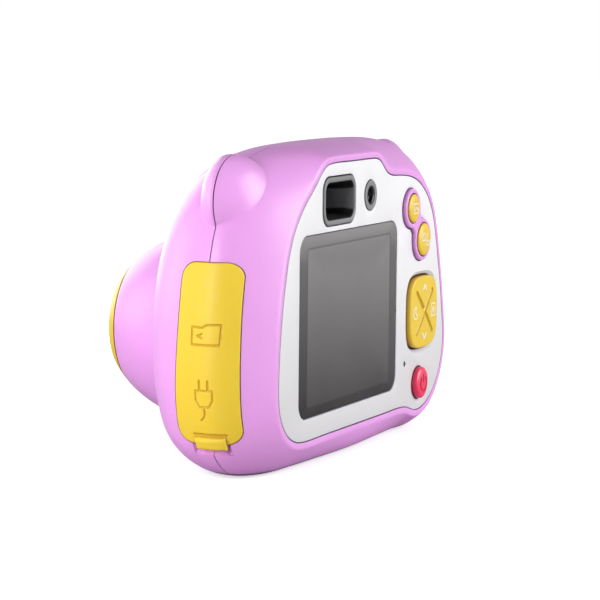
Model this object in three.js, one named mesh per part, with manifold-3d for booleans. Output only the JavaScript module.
// Children's digital camera: a pig-eared two-shell case with a snout barrel.
// Frame: millimetres, +Z up, rear panel faces +Y, snout points along -Y, origin on the
// level of the flat underside. Parts are modelled with the parting plane at y = 0.
import * as THREE from 'three';
import { mergeVertices } from 'three/addons/utils/BufferGeometryUtils.js';
import Module from 'manifold-3d';

const wasm = await Module();
wasm.setup();

// ---------------------------------------------------------------- driving dimensions
const PART_Y = 3.0;          // parting plane, from the origin
const AXIS_Z = 28.6;         // height of the axis the case is swept around
const BASE_Z = -0.4;         // flat underside
const REAR_Y = 10.5;         // rear panel face, behind the parting plane
const FRONT_Y = 15.5;        // front face, ahead of the parting plane
const WALL = 2.2;            // case wall
const GAP = 0.3;             // running gap between neighbours
const LIP = 1.35;            // case lip round the rear panel
const PANEL_T = 2.0;         // rear panel plate
const SHELL_JOINT = 0.12;    // fine joint between the case halves
const FLANGE_Y0 = 6.3;       // rear shell flange that carries the panel
const FLANGE_Y1 = REAR_Y - PANEL_T - 0.2;
const POST_TOP = FLANGE_Y0 - 0.25;
const REAR_ARC = { side: 5.0, addBottom: 3.2, addTop: 1.6 };   // depth of the arc's control point

const EAR = {
  x: 39.6, y: -0.4, z: 52.6,
  halfWidth: 8.9, halfHeight: 8.5, rearDepth: 6.35, frontDepth: 5.3,
  power: 2.2,                                          // superellipse exponent over depth
  blend: 1.0,                                          // width of the blend into the case
  rearInset: 0.57, frontInset: 0.4, rearDrop: 0.17,    // drift of the centre per mm of depth
  lowXInset: 1.6, lowXDrop: 0.32, lowXForward: 1.23,   // how the -X ear is displaced
};
// y values of the snout are distances forward of the parting plane
const SNOUT = { x: 0, z: 23.0, y0: 15.0, radius: 21.1, length: 31.2, power: 2.17,
  wall: 2.0, boreRadius: 16.3, ringY: 39.5, tipY: 41.9 };
const GLASS = { x: 7.8, z: 27.6, width: 48.25, height: 35.1, radius: 3.2, gap: 0.25 };
const ACTIVE = { x: 7.7, z: 27.3, width: 40.8, height: 30.6 };
const FINDER = { x: 13.65, z: 51.35, width: 15.8, height: 9.7, radius: 2.7,
  innerWidth: 13.4, innerHeight: 7.0 };
const FINDER_TUBE = { x: FINDER.x, z: 50.9 };
const FINDER_WINDOW = { x: FINDER.x, z: 50.4, width: 10, height: 6, radius: 1.3 };
const FLASH = { x: -10, z: 49.2, width: 4.8, height: 2.8 };
const MICROPHONE = { x: 2.6, z: 49.4 };
const SELFIE = { x: -1.9, z: 51.3, radius: 3.2, hole: 1.75 };
const MENU = { x: -23.3, z: 47.2, radius: 3.0, lobe: 4.1 };
const MODE = { x: -29.1, z: 40.3, radius: 3.45, lobe: 4.4 };
const PAD = { x: -30.3, z: 24.8, half: 7.6, power: 3.6, gap: 0.45 };
const POWER = { x: -28.9, z: 9.8, radius: 3.3 };
const STATUS = { x: -21.4, z: 14.6, radius: 0.5 };
const COVER = { y0: -6.75, y1: 5.95, z0: 7.3, z1: 41.5, corner: 3.2, thickness: 1.9,
  lean: 1.15, gap: GAP * 1.12 };
const SHUTTER = { x: -24, y: -8.6, z: 57.0, tiltDegrees: 40, radius: 4.6 };
const SPEAKER = { x: 28.0, z: 30.0, radius: 7.0, holePitch: 2.6 };
const SCREWS = [[26.2, 49.0], [-30.8, 46.9], [36.2, 13.0], [-37.3, 13.2]]
  .map(([x, z]) => ({ x, z }));

// depth ranges [y0, y1] of cutters
const THROUGH_FRONT = [-20, -8];
const THROUGH_PANEL = [8, 12];

// Rear panel outline, [x, z]
const PANEL_POINTS = [
  [7.1, 58.5], [16.4, 58.5], [19.5, 58.1], [21.8, 56.9], [23.9, 55.2], [26.2, 53.5],
  [29.2, 51.4], [32.2, 48.7], [34.8, 45.5], [36.8, 41.6], [38.2, 37.1], [39.4, 32.1],
  [40.2, 27.1], [40.8, 21.6], [41.0, 16.6], [40.5, 13.0], [39.1, 10.2], [36.5, 7.7],
  [33.1, 6.2], [29.4, 5.7], [18.9, 5.7], [3.9, 5.7], [-11.1, 5.7], [-19.1, 5.7],
  [-22.4, 5.4], [-25.0, 4.7], [-27.6, 4.1], [-30.6, 4.2], [-33.9, 5.1], [-36.9, 6.7],
  [-39.5, 9.0], [-41.6, 12.0], [-42.9, 15.5], [-43.2, 18.8], [-42.7, 22.1], [-42.0, 25.6],
  [-41.2, 29.6], [-40.1, 33.8], [-39.0, 37.8], [-37.8, 41.6], [-36.3, 45.2], [-34.3, 48.1],
  [-31.5, 50.6], [-27.9, 52.6], [-23.4, 53.8], [-18.6, 54.3], [-14.4, 54.5], [-11.4, 55.1],
  [-9.3, 56.3], [-7.4, 57.7], [-5.1, 58.4], [-1.6, 58.5],
];
// +X half of the case outline at the parting plane, [x, z]
const PARTING_HALF = [
  [0, 62.3], [12.0, 62.2], [23.0, 61.7], [32.0, 60.2], [39.3, 56.8], [44.3, 52.0],
  [47.6, 46.6], [49.6, 41.1], [51.1, 33.6], [51.6, 25.6], [51.4, 17.6], [50.0, 10.5],
  [47.4, 5.2], [42.5, 1.2], [36.0, -1.0], [26.0, -1.7], [13.0, -1.8], [0, -1.8],
];
// +X half of the front face outline, [x, z]
const FRONT_HALF = [
  [0, 51.6], [15.0, 51.2], [26.0, 48.8], [34.0, 43.6], [38.5, 36.6], [40.0, 27.6],
  [39.0, 18.6], [34.5, 11.2], [26.0, 6.9], [13.0, 5.4], [0, 5.2],
];

// ---------------------------------------------------------------- finishes
const PINK = 0xf0b0f0;
const YELLOW = 0xf7d94c;
const BLACK = 0x1a1a1c;
const FINISH = {
  pink: { color: PINK, roughness: 0.42 },
  yellow: { color: YELLOW, roughness: 0.42 },
  cover: { color: YELLOW, roughness: 0.45 },
  red: { color: 0xe83a5c, roughness: 0.42 },
  white: { color: 0xf2f2f2, roughness: 0.38 },
  grey: { color: 0x858786, roughness: 0.45 },
  black: { color: BLACK, roughness: 0.5 },
  mattBlack: { color: BLACK, roughness: 0.6 },
  steel: { color: 0xb9bcc0, roughness: 0.35, metalness: 0.9 },
  board: { color: 0x1f5b3a, roughness: 0.6 },
  flex: { color: 0xb06a2a, roughness: 0.5 },
  keySwitch: { color: 0x2b2b2b, roughness: 0.5 },
  lensWindow: { color: 0x9fb4c4, roughness: 0.08 },
  lensElement: { color: 0x39485a, roughness: 0.05 },
  sensor: { color: 0x222228, roughness: 0.3 },
  screenGlass: { color: 0x6a6868, roughness: 0.12 },
  lcd: { color: 0x2a2c30, roughness: 0.3 },
  finderGlass: { color: 0x8fa0aa, roughness: 0.08 },
  selfieWindow: { color: 0x101014, roughness: 0.06 },
  pivot: { color: 0xd8d8d8, roughness: 0.7 },
  lightPipe: { color: 0x9a9a9a, roughness: 0.3 },
  statusLed: { color: 0xf4f4e8, roughness: 0.4 },
  bracket: { color: 0xe6a6e6, roughness: 0.5 },
  memoryCard: { color: 0x202228, roughness: 0.45 },
  processor: { color: 0x17181a, roughness: 0.45 },
  microphone: { color: 0xc9b070, roughness: 0.4, metalness: 0.6 },
  flashWindow: { color: 0xf4f4f4, roughness: 0.15 },
  flashLed: { color: 0xf2e28a, roughness: 0.4 },
  battery: { color: 0x9aa0a8, roughness: 0.4, metalness: 0.3 },
  redWire: { color: 0xc0302c, roughness: 0.5 },
  speaker: { color: 0x3a3a3c, roughness: 0.5, metalness: 0.4 },
};

// ---------------------------------------------------------------- outlines
const mirrorHalf = (half) => half.concat(half.slice(1, -1).reverse().map(([x, z]) => [-x, z]));

function smooth(points, count) {     // centripetal closed spline
  const vectors = points.map(([x, z]) => new THREE.Vector3(x, z, 0));
  const curve = new THREE.CatmullRomCurve3(vectors, true, 'centripetal');
  return curve.getPoints(count).slice(0, count).map((v) => [v.x, v.y]);
}

function signedArea(points) {
  let sum = 0;
  points.forEach(([x, z], i) => {
    const next = points[(i + 1) % points.length];
    sum += x * next[1] - next[0] * z;
  });
  return sum / 2;
}

function grow(points, distance) {    // offset a closed outline along its normals
  const turn = signedArea(points) > 0 ? 1 : -1;
  const count = points.length;
  return points.map(([x, z], i) => {
    const before = points[(i + count - 1) % count];
    const after = points[(i + 1) % count];
    const normalX = (after[1] - before[1]) * turn;
    const normalZ = -(after[0] - before[0]) * turn;
    const length = Math.hypot(normalX, normalZ);
    return [x + normalX / length * distance, z + normalZ / length * distance];
  });
}

const panelOutline = (growth, count) => grow(smooth(PANEL_POINTS, count), growth);

function roundedRect({ x, z }, width, height, radius, steps) {
  const points = [];
  for (const [sideX, sideZ, start] of [[1, 1, 0], [-1, 1, 90], [-1, -1, 180], [1, -1, 270]]) {
    for (let i = 0; i <= steps; i++) {
      const angle = (start + 90 * i / steps) * Math.PI / 180;
      points.push([
        x + sideX * (width / 2 - radius) + radius * Math.cos(angle),
        z + sideZ * (height / 2 - radius) + radius * Math.sin(angle),
      ]);
    }
  }
  return points;
}

const frameOutline = (frame, growth = 0, steps = 4) => roundedRect(
  frame, frame.width + 2 * growth, frame.height + 2 * growth, frame.radius + growth, steps);

function padOutline(growth) {        // superellipse
  const bulge = (value) => Math.sign(value) * Math.abs(value) ** (2 / PAD.power);
  const half = PAD.half + growth;
  return Array.from({ length: 40 }, (_, i) => {
    const angle = 2 * Math.PI * i / 40;
    return [PAD.x + half * bulge(Math.cos(angle)), PAD.z + half * bulge(Math.sin(angle))];
  });
}

// ---------------------------------------------------------------- case surface
// Radius of a star-shaped outline, seen from the sweep axis, as a function of direction
function polar(points) {
  const table = points
    .map(([x, z]) => [Math.atan2(z - AXIS_Z, x), Math.hypot(x, z - AXIS_Z)])
    .sort((a, b) => a[0] - b[0]);
  const count = table.length;
  return (angle) => {
    let low = 0;
    let high = count;
    while (low < high) {
      const middle = (low + high) >> 1;
      if (table[middle][0] < angle) low = middle + 1;
      else high = middle;
    }
    const after = table[low % count];
    const before = table[(low + count - 1) % count];
    const angle0 = before[0] - (low === 0 ? 2 * Math.PI : 0);
    const angle1 = after[0] + (low === count ? 2 * Math.PI : 0);
    const span = angle1 - angle0 || 1;   // two points may share a direction
    return before[1] + (after[1] - before[1]) * (angle - angle0) / span;
  };
}
const lipRadius = polar(grow(smooth(PANEL_POINTS, 1200), LIP));
const partingRadius = polar(smooth(mirrorHalf(PARTING_HALF), 1200));
const frontRadius = polar(smooth(mirrorHalf(FRONT_HALF), 1200));

function earRadius(angle, y) {       // 0 where the direction misses both ears
  const dx = Math.cos(angle);
  const dz = Math.sin(angle);
  let radius = 0;
  for (const side of [1, -1]) {
    const lowX = side < 0 ? 1 : 0;
    const depth = y - EAR.y + lowX * EAR.lowXForward;
    const reach = depth > 0 ? depth / EAR.rearDepth : -depth / EAR.frontDepth;
    const section = Math.max(1 - reach ** EAR.power, 0) ** (2 / EAR.power);
    const inset = depth > 0 ? EAR.rearInset * depth : -EAR.frontInset * depth;
    const centreX = side * (EAR.x - inset - lowX * EAR.lowXInset);
    const drop = EAR.rearDrop * Math.max(depth, 0) + lowX * EAR.lowXDrop;
    const centreZ = EAR.z - AXIS_Z - drop;
    // far crossing of the ray with the ear's elliptical section
    const a = (dx / EAR.halfWidth) ** 2 + (dz / EAR.halfHeight) ** 2;
    const b = -2 * (centreX * dx / EAR.halfWidth ** 2 + centreZ * dz / EAR.halfHeight ** 2);
    const c = (centreX / EAR.halfWidth) ** 2 + (centreZ / EAR.halfHeight) ** 2 - section;
    const root = b * b - 4 * a * c;
    if (root > 0 && section > 0) radius = Math.max(radius, (-b + Math.sqrt(root)) / (2 * a));
  }
  return radius;
}

function smoothMax(a, b, width) {
  const mix = Math.min(Math.max(0.5 + 0.5 * (a - b) / width, 0), 1);
  return b * (1 - mix) + a * mix + width * mix * (1 - mix);
}

// u 0..1 runs from the rear lip to the parting plane, 1..2 on to the front face
function caseSurface(angle, u) {
  const up = Math.sin(angle);
  const parting = partingRadius(angle);
  let radius;
  let y;
  if (u <= 1) {                      // one quadratic arc from the lip to the parting plane
    const controlY = REAR_ARC.side + REAR_ARC.addBottom * Math.max(-up, 0) ** 4
      + REAR_ARC.addTop * Math.max(up, 0) ** 4;
    const lip = lipRadius(angle);
    radius = lip + (parting - lip) * (1 - (1 - u) ** 2);
    y = REAR_Y * (1 - u) ** 2 + 2 * controlY * u * (1 - u);
  } else {                           // quarter ellipse on to the front face
    const turn = (u - 1) * Math.PI / 2;
    const face = frontRadius(angle);
    radius = face + (parting - face) * Math.cos(turn);
    y = -FRONT_Y * Math.sin(turn);
  }
  const ear = earRadius(angle, y);
  if (ear > 0) radius = smoothMax(ear, radius, EAR.blend);
  if (up < -1e-6) radius = Math.min(radius, (AXIS_Z - BASE_Z) / -up);
  return [radius, y];
}

function casePoint(angle, u, inset, fixedY) {
  const [radius, y] = caseSurface(angle, u);
  const reach = radius - inset;
  return [reach * Math.cos(angle), fixedY ?? y, AXIS_Z + reach * Math.sin(angle)];
}

const caseRing = (angles, u, inset = 0, fixedY = undefined) =>
  angles.map((angle) => casePoint(angle, u, inset, fixedY));

function directions(step, earStep) { // angles round the case, with their own step over the ears
  const angles = [];
  let angle = -Math.PI;
  while (angle < Math.PI - 1e-6) {
    angles.push(angle);
    const nearEar = Math.abs(Math.abs(angle - Math.PI / 2) - 0.98) < 0.36;
    angle += nearEar ? earStep : step;
  }
  return angles;
}

// ---------------------------------------------------------------- solids
function signedVolume(positions, triangles) {
  const corner = (i) => new THREE.Vector3().fromArray(positions, 3 * triangles[i]);
  let sum = 0;
  for (let i = 0; i < triangles.length; i += 3) {
    sum += corner(i).dot(corner(i + 1).cross(corner(i + 2)));
  }
  return sum;
}

function toSolid(geometry) {         // closed three.js geometry, wound either way
  geometry.deleteAttribute('normal');
  geometry.deleteAttribute('uv');
  const merged = mergeVertices(geometry, 1e-4);
  const positions = Float32Array.from(merged.getAttribute('position').array);
  const index = merged.getIndex().array;
  const triangles = [];
  for (let i = 0; i < index.length; i += 3) {
    const [a, b, c] = index.slice(i, i + 3);
    if (a !== b && b !== c && a !== c) triangles.push(a, b, c);
  }
  if (signedVolume(positions, triangles) < 0) {
    for (let i = 1; i < triangles.length; i += 3) {
      [triangles[i], triangles[i + 1]] = [triangles[i + 1], triangles[i]];
    }
  }
  return new wasm.Manifold(new wasm.Mesh({
    numProp: 3, vertProperties: positions, triVerts: Uint32Array.from(triangles),
  }));
}

function toGeometry(solid) {
  const mesh = solid.getMesh();
  const positions = Float32Array.from(mesh.vertProperties);
  const geometry = new THREE.BufferGeometry();
  geometry.setAttribute('position', new THREE.BufferAttribute(positions, 3));
  geometry.setIndex(new THREE.BufferAttribute(Uint32Array.from(mesh.triVerts), 1));
  return geometry;
}

const join = (...solids) => solids.reduce((a, b) => a.add(b));
const cut = (solid, ...cutters) => cutters.reduce((a, b) => a.subtract(b), solid);
const quad = (a, b, c, d) => [a, b, c, b, d, c];

function solidFromTriangles(positions, index) {
  const geometry = new THREE.BufferGeometry();
  geometry.setAttribute('position', new THREE.Float32BufferAttribute(positions, 3));
  geometry.setIndex(index);
  return toSolid(geometry);
}

function loft(rings) {               // closed rings of equal length, flat fans at both ends
  const count = rings[0].length;
  const last = rings.length - 1;
  const positions = rings.flat(2);
  const index = [];
  for (let i = 0; i < last; i++) {
    for (let j = 0; j < count; j++) {
      const a = i * count + j;
      const b = i * count + (j + 1) % count;
      index.push(...quad(a, b, a + count, b + count));
    }
  }
  for (const k of [0, last]) {
    const centre = positions.length / 3;
    positions.push(0, rings[k][0][1], AXIS_Z);
    for (let j = 0; j < count; j++) {
      const a = k * count + j;
      const b = k * count + (j + 1) % count;
      index.push(...(k === 0 ? [b, a, centre] : [a, b, centre]));
    }
  }
  return solidFromTriangles(positions, index);
}

const vectors2 = (points) => points.map(([x, y]) => new THREE.Vector2(x, y));
const middle = ([low, high]) => (low + high) / 2;
const around = (centre, half) => [centre - half, centre + half];

function extrude(points, depth) {
  const shape = new THREE.Shape(vectors2(points));
  return new THREE.ExtrudeGeometry(shape, { depth, bevelEnabled: false, steps: 1 });
}

function prismY(points, [y0, y1]) {  // points are [x, z]
  return toSolid(extrude(points, y1 - y0).rotateX(Math.PI / 2).translate(0, y1, 0));
}

function prismX(points, [x0, x1]) {  // points are [y, z]
  const turn = new THREE.Matrix4().makeBasis(
    new THREE.Vector3(0, 1, 0), new THREE.Vector3(0, 0, 1), new THREE.Vector3(1, 0, 0));
  return toSolid(extrude(points, x1 - x0).applyMatrix4(turn).translate(x0, 0, 0));
}

function box(xs, ys, zs) {           // each argument is [low, high]
  const geometry = new THREE.BoxGeometry(...[xs, ys, zs].map(([low, high]) => high - low));
  return toSolid(geometry.translate(middle(xs), middle(ys), middle(zs)));
}

function rod({ x, z }, radius, ys, segments) {   // cylinder along Y
  const geometry = new THREE.CylinderGeometry(radius, radius, ys[1] - ys[0], segments);
  return toSolid(geometry.translate(x, middle(ys), z));
}

// profiles are [radius, y]
const latheGeometry = (profile, segments) =>
  new THREE.LatheGeometry(vectors2(profile), segments);

const lathe = (profile, segments, { x, z }) =>
  toSolid(latheGeometry(profile, segments).translate(x, 0, z));

function domedButton(place, sideY, topY) {       // softly domed end faces +Y
  const { radius } = place;
  const shoulder = [[0.93, 0.45], [0.78, 0.75], [0.5, 0.93]]   // [of radius, of dome height]
    .map(([out, rise]) => [radius * out, sideY + (topY - sideY) * rise]);
  const profile = [[0, 7.2], [radius, 7.2], [radius, sideY], ...shoulder, [0, topY]];
  return lathe(profile, 20, place);
}

function sweep(path, section, steps) {
  const extrudePath = new THREE.CatmullRomCurve3(
    path.map((p) => new THREE.Vector3(...p)), false, 'centripetal');
  const shape = new THREE.Shape(vectors2(section));
  return toSolid(new THREE.ExtrudeGeometry(shape, { steps, bevelEnabled: false, extrudePath }));
}

function ribbon(path, width, thickness) {        // flat strip, width along X
  const x = width / 2;
  const y = thickness / 2;
  return sweep(path, [[-x, -y], [x, -y], [x, y], [-x, y]], 14);
}

function wire(path, radius) {
  const section = Array.from({ length: 6 }, (_, i) => {
    const angle = 2 * Math.PI * i / 6;
    return [radius * Math.cos(angle), radius * Math.sin(angle)];
  });
  return sweep(path, section, 16);
}

const camera = new THREE.Group();
camera.position.set(0, PART_Y, -BASE_Z);

function add(name, solid, finish) {
  const mesh = new THREE.Mesh(toGeometry(solid), new THREE.MeshStandardMaterial(finish));
  mesh.name = name;
  camera.add(mesh);
}

const atScrews = (radius, ys, segments) =>
  SCREWS.map((place) => rod(place, radius, ys, segments));

// ---------------------------------------------------------------- shutter axis
// Rises out of the top of the front slope; local +Y points outward along it.
const shutterTilt = SHUTTER.tiltDegrees * Math.PI / 180;
const shutterTurn = new THREE.Quaternion().setFromUnitVectors(
  new THREE.Vector3(0, 1, 0),
  new THREE.Vector3(0, -Math.sin(shutterTilt), Math.cos(shutterTilt)));

const onShutter = (geometry) => toSolid(
  geometry.applyQuaternion(shutterTurn).translate(SHUTTER.x, SHUTTER.y, SHUTTER.z));
const shutterLathe = (profile, segments) => onShutter(latheGeometry(profile, segments));

// ---------------------------------------------------------------- port cover outlines, [y, z]
function coverOutline(growth) {      // rounded rectangle whose front edge leans with height
  const { y0, y1, z0, z1 } = COVER;
  const frame = { x: (y0 + y1) / 2, z: (z0 + z1) / 2,
    width: y1 - y0, height: z1 - z0, radius: COVER.corner };
  return frameOutline(frame, growth).map(([y, z]) =>
    [y + COVER.lean * (z - z0) / (z1 - z0) * (y1 - y) / (y1 - y0), z]);
}
const TAB_OUTLINE = [[-3.6, 6.3], [3.05, 6.3], [3.05, 8.6], [-3.6, 8.6]];
const TAB_NOTCH = [[-4.0, 5.2], [3.5, 5.2], [3.5, 9], [-4.0, 9]];
const COVER_XS = [38, 60];
const coverCut = prismX(coverOutline(COVER.gap), COVER_XS).add(prismX(TAB_NOTCH, COVER_XS));

// ---------------------------------------------------------------- case shells
const SHELL_ANGLES = directions(0.1, 0.045);
const CAVITY_ANGLES = directions(0.16, 0.12);
const REAR_STATIONS = [0, 0.14, 0.29, 0.45, 0.61, 0.8, 1];
const FRONT_STATIONS = [1, 1.15, 1.29, 1.41, 1.54, 1.68, 1.84, 2];
// cavity stations: [u, inset, y]
const REAR_CAVITY = [[1, WALL, -1], [1, WALL, 0], [0.7, WALL, 3.0], [0.4, WALL + 0.2, FLANGE_Y0]];
const FRONT_CAVITY = [
  [1, WALL, 1], [1, WALL, 0], [1.3, WALL, -6.2], [1.6, WALL, -11.2], [1.78, WALL, -13.3],
];
const outerShell = (stations) => loft(stations.map((u) => caseRing(SHELL_ANGLES, u)));
const cavity = (stations) =>
  loft(stations.map(([u, inset, y]) => caseRing(CAVITY_ANGLES, u, inset, y)));

function frontOpenings() {
  const shutterRadius = SHUTTER.radius + GAP;
  const flashHole = roundedRect(FLASH, FLASH.width + 2 * GAP, FLASH.height + 2 * GAP, 1, 2);
  const speakerHoles = [[0, 0], [1, 0], [-1, 0], [0, 1], [0, -1]].map(([i, j]) => {
    const x = SPEAKER.x + i * SPEAKER.holePitch;
    const z = SPEAKER.z + j * SPEAKER.holePitch;
    return rod({ x, z }, 0.6, [-20, -6], 6);
  });
  return [
    rod(SNOUT, SNOUT.boreRadius + GAP, THROUGH_FRONT, 28),
    prismY(frameOutline(FINDER_WINDOW, GAP, 3), THROUGH_FRONT),
    prismY(flashHole, THROUGH_FRONT),
    rod(MICROPHONE, 0.6, THROUGH_FRONT, 8),
    shutterLathe([[0, -8], [shutterRadius, -8], [shutterRadius, 8], [0, 8]], 24),
    ...speakerHoles,
  ];
}

function frontShell() {              // carries the screw posts, which meet the rear flange
  const outer = outerShell(FRONT_STATIONS);
  const posts = atScrews(2.9, [-14.2, POST_TOP], 16).map((post) => post.intersect(outer));
  const postTops = atScrews(2.9, [-0.5, POST_TOP], 16);
  const shell = join(cut(outer, cavity(FRONT_CAVITY)), ...posts, ...postTops);
  return cut(shell, ...frontOpenings(), ...atScrews(1.15, [-8, FLANGE_Y0 + 1], 10), coverCut);
}

function rearShell() {
  const screwPads = atScrews(3.1, [4, 10], 16);  // left standing in the flange opening
  return cut(
    outerShell(REAR_STATIONS),
    cavity(REAR_CAVITY),
    cut(prismY(panelOutline(-1.8, 60), [5, 9]), ...screwPads),
    prismY(panelOutline(GAP, 84), [FLANGE_Y1, 12]),
    ...atScrews(1.5, [5, 9], 10),                // screw clearance
    ...atScrews(2.2, [FLANGE_Y1 - 1.3, 9], 14),  // head recess
    coverCut,
    box([-70, 70], [-1, SHELL_JOINT], [-5, 80]),
  );
}

function caseScrew(place) {
  const shank = rod(place, 0.95, [-4, FLANGE_Y1 - 1.0], 10);
  const head = rod(place, 1.9, [FLANGE_Y1 - 1.1, FLANGE_Y1 - 0.1], 14);
  const slot = box(around(place.x, 1.2), [FLANGE_Y1 - 0.5, FLANGE_Y1 + 1], around(place.z, 0.25));
  return cut(join(shank, head), slot);
}

add('front_shell', frontShell(), FINISH.pink);
add('rear_shell', rearShell(), FINISH.pink);
SCREWS.forEach((place, i) => add(`case_screw_${i + 1}`, caseScrew(place), FINISH.steel));

// ---------------------------------------------------------------- snout barrel and lens
function snoutPoint(forward, inset = 0) {
  const along = Math.max((forward - SNOUT.y0) / SNOUT.length, 0);
  const radius = SNOUT.radius * (1 - along ** SNOUT.power) ** (1 / SNOUT.power);
  return [radius - inset, -forward];
}

function lensBarrel() {
  const outside = [8, 15, 19.5, 24, 28, 31.5, 34.5, 37.2, SNOUT.ringY]
    .map((forward) => snoutPoint(forward));
  const seatY = -SNOUT.ringY + 1.2;
  const seatAndBore = [
    [12.6, -SNOUT.ringY], [12.6, seatY], [10.4, seatY], [10.4, -31.0], [13.4, -31.0],
  ];
  const inside = [33.0, 26, 18].map((forward) => snoutPoint(forward, SNOUT.wall));
  const spigot = [
    [14.3, -18], [14.3, -12.6], [16.2, -12.6], [16.2, -16.0], [19.0, -16.0], [19.0, -8],
  ];
  const profile = [...outside, ...seatAndBore, ...inside, ...spigot, outside[0]];
  // the barrel's back end is trimmed to stand one gap off the case front
  const angles = directions(0.1, 0.1);
  const rings = [1.0, 1.16, 1.33, 1.5, 1.66, 1.83].map((u) => caseRing(angles, u, -GAP));
  rings.push(caseRing(angles, 2, -GAP, -FRONT_Y - GAP));
  const trim = loft(rings).subtract(rod(SNOUT, SNOUT.boreRadius, THROUGH_FRONT, 28));
  return cut(lathe(profile, 36, SNOUT), trim);
}

const TRIM_RING_PROFILE = [
  [10.4, -41.9], [10.4, -38.6], [12.3, -38.6], [12.3, -39.8],
  ...[39.8, 40.4, 40.9, 41.4, SNOUT.tipY].map((forward) => snoutPoint(forward)),
  [10.6, -42.5], [9.6, -42.85], [8.6, -43.0], [7.2, -43.0], [6.6, -42.7], [6.6, -41.9],
  [10.4, -41.9],
];
const LENS_WINDOW_PROFILE = [[0, -41.95], [6.3, -41.95], [6.3, -42.6], [0, -42.6]];
const LENS_HOUSING_PROFILE = [
  [3.4, -41.6], [9.6, -41.6], [9.6, -30.6], [5.6, -30.6], [5.6, -36], [3.4, -37], [3.4, -41.6],
];
const LENS_PROFILE = [[0, -37.6], [3.1, -37.6], [3.1, -40.2], [2.2, -40.8], [0, -41.1]];
// [y, z from the snout axis]
const SENSOR_FLEX_PATH = [[-28.9, -5], [-26, -6], [-18, -2], [-10, -3], [-4.2, -7.5]]
  .map(([y, dz]) => [0, y, SNOUT.z + dz]);
const snoutBlock = (half, ys) => box(around(SNOUT.x, half), ys, around(SNOUT.z, half));

add('lens_barrel', lensBarrel(), FINISH.pink);
add('lens_trim_ring', lathe(TRIM_RING_PROFILE, 36, SNOUT), FINISH.yellow);
add('lens_window', lathe(LENS_WINDOW_PROFILE, 32, SNOUT), FINISH.lensWindow);
add('lens_housing', lathe(LENS_HOUSING_PROFILE, 32, SNOUT), FINISH.black);
add('lens_element', lathe(LENS_PROFILE, 24, SNOUT), FINISH.lensElement);
add('image_sensor', snoutBlock(3.4, [-31.6, -30.4]), FINISH.sensor);
add('sensor_board', snoutBlock(9, [-30.2, -29.2]), FINISH.board);
add('sensor_flex', ribbon(SENSOR_FLEX_PATH, 6, 0.25), FINISH.flex);

// ---------------------------------------------------------------- rear panel and screen
// Two round lobes, round the menu and mode buttons, and the bridge between them
function twinLobe(growth, ys) {
  const bridge = prismY([[-26.9, 47.6], [-31.7, 42.2], [-28.0, 39.5], [-23.3, 45.0]], ys);
  return join(
    rod(MENU, MENU.lobe + growth, ys, 28),
    rod(MODE, MODE.lobe + growth, ys, 28),
    bridge.intersect(rod({ x: -26.4, z: 43.6 }, 4.2 + growth, ys, 24)),
  );
}

function rearPanel() {
  const screenHole = roundedRect(ACTIVE, ACTIVE.width + 1.2, ACTIVE.height + 1.2, 1, 2);
  return cut(
    prismY(panelOutline(0, 84), [REAR_Y - PANEL_T, REAR_Y]),
    prismY(frameOutline(GLASS, GLASS.gap), [REAR_Y - 1.3, 12]),
    prismY(screenHole, THROUGH_PANEL),
    prismY(frameOutline(FINDER, GAP), THROUGH_PANEL),
    rod(SELFIE, SELFIE.radius + GAP, THROUGH_PANEL, 24),
    twinLobe(GAP, THROUGH_PANEL),
    prismY(padOutline(PAD.gap), THROUGH_PANEL),
    rod(POWER, POWER.radius + GAP, THROUGH_PANEL, 24),
    rod(STATUS, STATUS.radius + 0.15, THROUGH_PANEL, 10),
  );
}

const lcdFrame = cut(
  prismY(roundedRect(ACTIVE, 46.8, 35.8, 1.2, 2), [5.2, 7.9]),
  prismY(roundedRect(ACTIVE, 45.9, 34.9, 1.0, 2), [5.7, 9]));
const LCD_FLEX_PATH = [[4.7, 12], [4.4, 16], [2.6, 19], [0.6, 17.6], [0.1, 14.5]]   // [y, z]
  .map(([y, z]) => [ACTIVE.x, y, z]);

add('rear_panel', rearPanel(), FINISH.white);
add('screen_glass', prismY(frameOutline(GLASS), [REAR_Y - 1.2, REAR_Y - 0.05]),
  FINISH.screenGlass);
add('lcd_module', prismY(roundedRect(ACTIVE, 45.4, 34.4, 0.8, 2), [6.1, 8.2]), FINISH.lcd);
add('lcd_frame', lcdFrame, FINISH.steel);
add('lcd_flex', ribbon(LCD_FLEX_PATH, 14, 0.2), FINISH.flex);

// ---------------------------------------------------------------- viewfinder and selfie camera
const finderFrame = cut(
  prismY(frameOutline(FINDER), [8.45, REAR_Y + 0.25]),
  prismY(roundedRect(FINDER, FINDER.innerWidth, FINDER.innerHeight, 1.5, 3), [7, 12]));
const finderTube = cut(
  prismY(roundedRect(FINDER_TUBE, 13.0, 6.8, 1.2, 2), [-11.6, 7.3]),
  prismY(roundedRect(FINDER_TUBE, 11.4, 5.2, 0.8, 2), [-13, 9]),
  prismY(roundedRect(FINDER_TUBE, 12.0, 5.8, 0.8, 2), [3.8, 9]));   // eyepiece seat
const eyepiece = prismY(roundedRect(FINDER_TUBE, 11.8, 5.6, 0.7, 2), [4.0, 5.0]);
const SELFIE_RING_PROFILE = [
  [SELFIE.hole, 8.7], [SELFIE.radius, 8.7], [SELFIE.radius, REAR_Y + 0.2],
  [SELFIE.radius - 0.3, REAR_Y + 0.35], [SELFIE.hole + 0.6, REAR_Y + 0.35],
  [SELFIE.hole, REAR_Y - 0.3], [SELFIE.hole, 8.7],
];
const selfieGlass = SELFIE.hole - 0.15;
const SELFIE_WINDOW_PROFILE = [[0, 8.9], [selfieGlass, 8.9], [selfieGlass, 9.6], [0, 9.7]];
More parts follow.
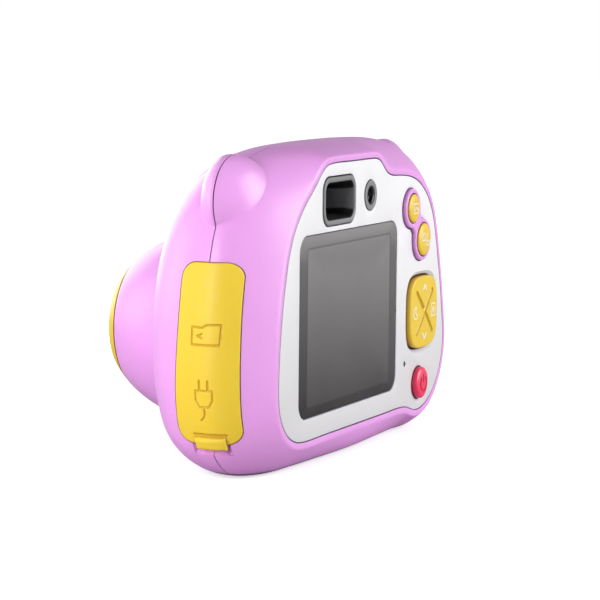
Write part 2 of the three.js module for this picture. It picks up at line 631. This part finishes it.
const selfieCamera = join(
  box(around(SELFIE.x, 3.3), [3.2, 6.6], around(SELFIE.z, 3.3)),
  rod(SELFIE, 2.6, [6.4, 8.3], 20));

add('viewfinder_frame', finderFrame, FINISH.grey);
add('viewfinder_tube', finderTube, FINISH.mattBlack);
add('viewfinder_eyepiece', eyepiece, FINISH.finderGlass);
add('viewfinder_window', prismY(frameOutline(FINDER_WINDOW, 0, 3), [-13.4, -12.0]),
  FINISH.finderGlass);
add('selfie_lens_ring', lathe(SELFIE_RING_PROFILE, 28, SELFIE), FINISH.grey);
add('selfie_lens_window', lathe(SELFIE_WINDOW_PROFILE, 20, SELFIE), FINISH.selfieWindow);
add('selfie_camera', selfieCamera, FINISH.black);

// ---------------------------------------------------------------- buttons
function navPad() {                  // stepped cap with two crossed grooves
  const groove = (angle) => toSolid(new THREE.BoxGeometry(10.4, 0.8, 0.6)
    .rotateY(angle).translate(PAD.x, REAR_Y + 1.3, PAD.z));
  const cap = join(
    prismY(padOutline(0), [7.6, REAR_Y + 0.7]),
    prismY(padOutline(-0.5), [REAR_Y + 0.5, REAR_Y + 1.2]));
  return cut(cap, groove(Math.PI / 4), groove(-Math.PI / 4));
}

const buttonBezel = cut(
  twinLobe(0, [REAR_Y - PANEL_T, REAR_Y + 0.8]),
  ...[MENU, MODE].map((button) => rod(button, button.radius + GAP, [0, 20], 24)));
const NAV_PIVOT_PROFILE = [
  [0, 3.4], [1.6, 3.4], [1.6, 4.4], [1.0, 5.0], [1.0, 6.9], [1.4, 7.3], [0, 7.3],
];

add('button_bezel', buttonBezel, FINISH.pink);
add('menu_button', domedButton(MENU, REAR_Y + 0.85, REAR_Y + 1.35), FINISH.yellow);
add('mode_button', domedButton(MODE, REAR_Y + 0.85, REAR_Y + 1.45), FINISH.yellow);
add('nav_pad', navPad(), FINISH.yellow);
add('nav_pivot', lathe(NAV_PIVOT_PROFILE, 16, PAD), FINISH.pivot);
add('power_button', domedButton(POWER, REAR_Y + 0.9, REAR_Y + 1.7), FINISH.red);
add('status_light_pipe', rod(STATUS, STATUS.radius - 0.05, [4.4, REAR_Y - 0.1], 10),
  FINISH.lightPipe);
add('status_led', box(around(STATUS.x, 0.8), [3.1, 3.9], around(STATUS.z, 0.5)),
  FINISH.statusLed);

// key board behind the buttons, [x, z]
const KEY_BOARD_OUTLINE = [
  [-37.0, 19.5], [-37.0, 33], [-34.2, 38.5], [-33.6, 42.0], [-26.5, 43.4], [-26.0, 51],
  [-19.6, 51], [-19.6, 6.8], [-33.0, 6.8], [-33.0, 19.5],
];
add('key_board', cut(prismY(KEY_BOARD_OUTLINE, [2.0, 3.0]), ...atScrews(3.4, [0, 9], 14)),
  FINISH.board);

function addSwitch(name, { x, z }, plungerY = 6.3, half = 2.25) {
  const body = box(around(x, half), [3.1, 4.7], around(z, half));
  add(name, join(body, rod({ x, z }, 1.1, [4.6, plungerY], 12)), FINISH.keySwitch);
}
addSwitch('menu_switch', MENU);
addSwitch('mode_switch', { x: MODE.x, z: MODE.z - 1.0 });
addSwitch('power_switch', POWER);
// offsets from the pad centre; left and right are as seen from behind the camera
for (const [side, dx, dz] of [['up', 0, 5.2], ['down', 0, -5.2], ['left', 5.2, 0],
  ['right', -5.0, 0]]) {
  addSwitch(`nav_switch_${side}`, { x: PAD.x + dx, z: PAD.z + dz }, 7.0, 1.5);
}

// ---------------------------------------------------------------- shutter release
const SHUTTER_PROFILE = [
  [0, -2.6], [SHUTTER.radius, -2.6], [SHUTTER.radius, 0.9], [SHUTTER.radius * 0.93, 1.4],
  [SHUTTER.radius * 0.78, 1.75], [SHUTTER.radius * 0.5, 2.0], [0, 2.1],
];
const shutterSwitch = join(
  shutterLathe([[0, -6.0], [2.6, -6.0], [2.6, -4.4], [0, -4.4]], 4),
  shutterLathe([[0, -4.6], [1.1, -4.6], [1.1, -3.9], [0, -3.9]], 10));
add('shutter_button', shutterLathe(SHUTTER_PROFILE, 24), FINISH.yellow);
add('shutter_switch', shutterSwitch, FINISH.keySwitch);
add('shutter_board', onShutter(new THREE.BoxGeometry(8, 1.0, 7).translate(0, -6.8, 0)),
  FINISH.board);

// ---------------------------------------------------------------- port cover and connectors
const PATCH_ANGLES = directions(0.05, 0.05).filter((angle) => angle > -0.7 && angle < 0.75);
const PATCH_STATIONS = [0.25, 0.42, 0.6, 0.75, 0.9, 1, 1.12, 1.24, 1.36, 1.5];

function sidePatch(outerInset, innerInset) {     // slab of the +X case side
  const lastI = PATCH_STATIONS.length - 1;
  const lastJ = PATCH_ANGLES.length - 1;
  const positions = [outerInset, innerInset].flatMap((inset) =>
    PATCH_STATIONS.flatMap((u) => caseRing(PATCH_ANGLES, u, inset).flat()));
  const at = (layer, i, j) => (layer * (lastI + 1) + i) * (lastJ + 1) + j;
  const index = [];
  for (let i = 0; i < lastI; i++) {
    for (let j = 0; j < lastJ; j++) {
      index.push(...quad(at(0, i, j), at(0, i, j + 1), at(0, i + 1, j), at(0, i + 1, j + 1)));
      index.push(...quad(at(1, i, j), at(1, i + 1, j), at(1, i, j + 1), at(1, i + 1, j + 1)));
    }
  }
  for (let i = 0; i < lastI; i++) {
    const k = i + 1;
    index.push(...quad(at(0, i, 0), at(0, k, 0), at(1, i, 0), at(1, k, 0)));
    index.push(...quad(at(0, i, lastJ), at(1, i, lastJ), at(0, k, lastJ), at(1, k, lastJ)));
  }
  for (let j = 0; j < lastJ; j++) {
    const k = j + 1;
    index.push(...quad(at(0, 0, j), at(1, 0, j), at(0, 0, k), at(1, 0, k)));
    index.push(...quad(at(0, lastI, j), at(0, lastI, k), at(1, lastI, j), at(1, lastI, k)));
  }
  return solidFromTriangles(positions, index);
}

const portCover = join(
  sidePatch(-0.15, COVER.thickness).intersect(prismX(coverOutline(0), COVER_XS)),
  sidePatch(-0.9, COVER.thickness).intersect(prismX(TAB_OUTLINE, COVER_XS)),
  box([45.4, 49.6], [-1.4, 1.0], [27.4, 36.4]),  // card stub
  box([45.4, 49.2], [-0.3, 1.9], [16.9, 22.5])); // plug stub
const portBracket = cut(
  box([43.2, 44.8], [-6.6, 4.6], [9.5, 40]),
  box([40, 50], [-1.8, 1.8], [25.0, 38.6]),
  box([40, 50], [-1.4, 2.6], [15.6, 23.8]));
const mainBoard = cut(
  box([-17.6, 42.6], [-2.6, -1.0], [7.4, 46.6]),
  ...atScrews(3.4, [-6, 2], 14),
  box([18.6, 24], [-4, 0], [44, 48]));
const usbConnector = cut(
  box([37.6, 42.9], [-0.9, 2.0], [16.2, 23.2]),
  box([38.6, 44], [-0.4, 1.5], [16.8, 22.6]));
const cardSlot = cut(
  box([27.6, 42.4], [-0.9, 1.3], [25.0, 38.6]),
  box([28.6, 44], [-0.35, 0.85], [26.0, 37.6]));

add('port_cover', portCover, FINISH.cover);
add('port_bracket', portBracket, FINISH.bracket);
add('main_board', mainBoard, FINISH.board);
add('usb_connector', usbConnector, FINISH.steel);
add('card_slot', cardSlot, FINISH.steel);
add('memory_card', box([29.4, 43.0], [-0.1, 0.65], [26.3, 37.3]), FINISH.memoryCard);

// ---------------------------------------------------------------- other electronics
const CABLE_PATH = [
  [-21.5, -4.6, 42.7], [-20.9, -4.7, 44.6], [-18.8, -4.9, 45.6], [-16.0, -4.8, 44.8],
  [-14.6, -3.8, 42.6],
];
const flashWindow = roundedRect(FLASH, FLASH.width, FLASH.height, 0.8, 2);
const batteryOutline = roundedRect({ x: -26.6, z: 29.2 }, 16.0, 26.0, 1.2, 2);
const speaker = join(
  rod(SPEAKER, SPEAKER.radius, [-12.4, -9.8], 24),
  rod(SPEAKER, SPEAKER.radius * 0.62, [-9.9, -7.8], 20));

add('processor', box([6, 18], [-0.9, 0.3], [24, 36]), FINISH.processor);
add('microphone', box(around(MICROPHONE.x, 2), [-10.6, -9.2], around(MICROPHONE.z, 1.8)),
  FINISH.microphone);
add('flash_window', prismY(flashWindow, [-13.6, -12.4]), FINISH.flashWindow);
add('flash_led', box(around(FLASH.x, 1.6), [-11.2, -9.8], around(FLASH.z, 1.4)),
  FINISH.flashLed);
add('battery', prismY(batteryOutline, [-7.0, -1.8]), FINISH.battery);
add('battery_cable', wire(CABLE_PATH, 0.8), FINISH.redWire);
add('speaker', speaker, FINISH.speaker);

export default camera;
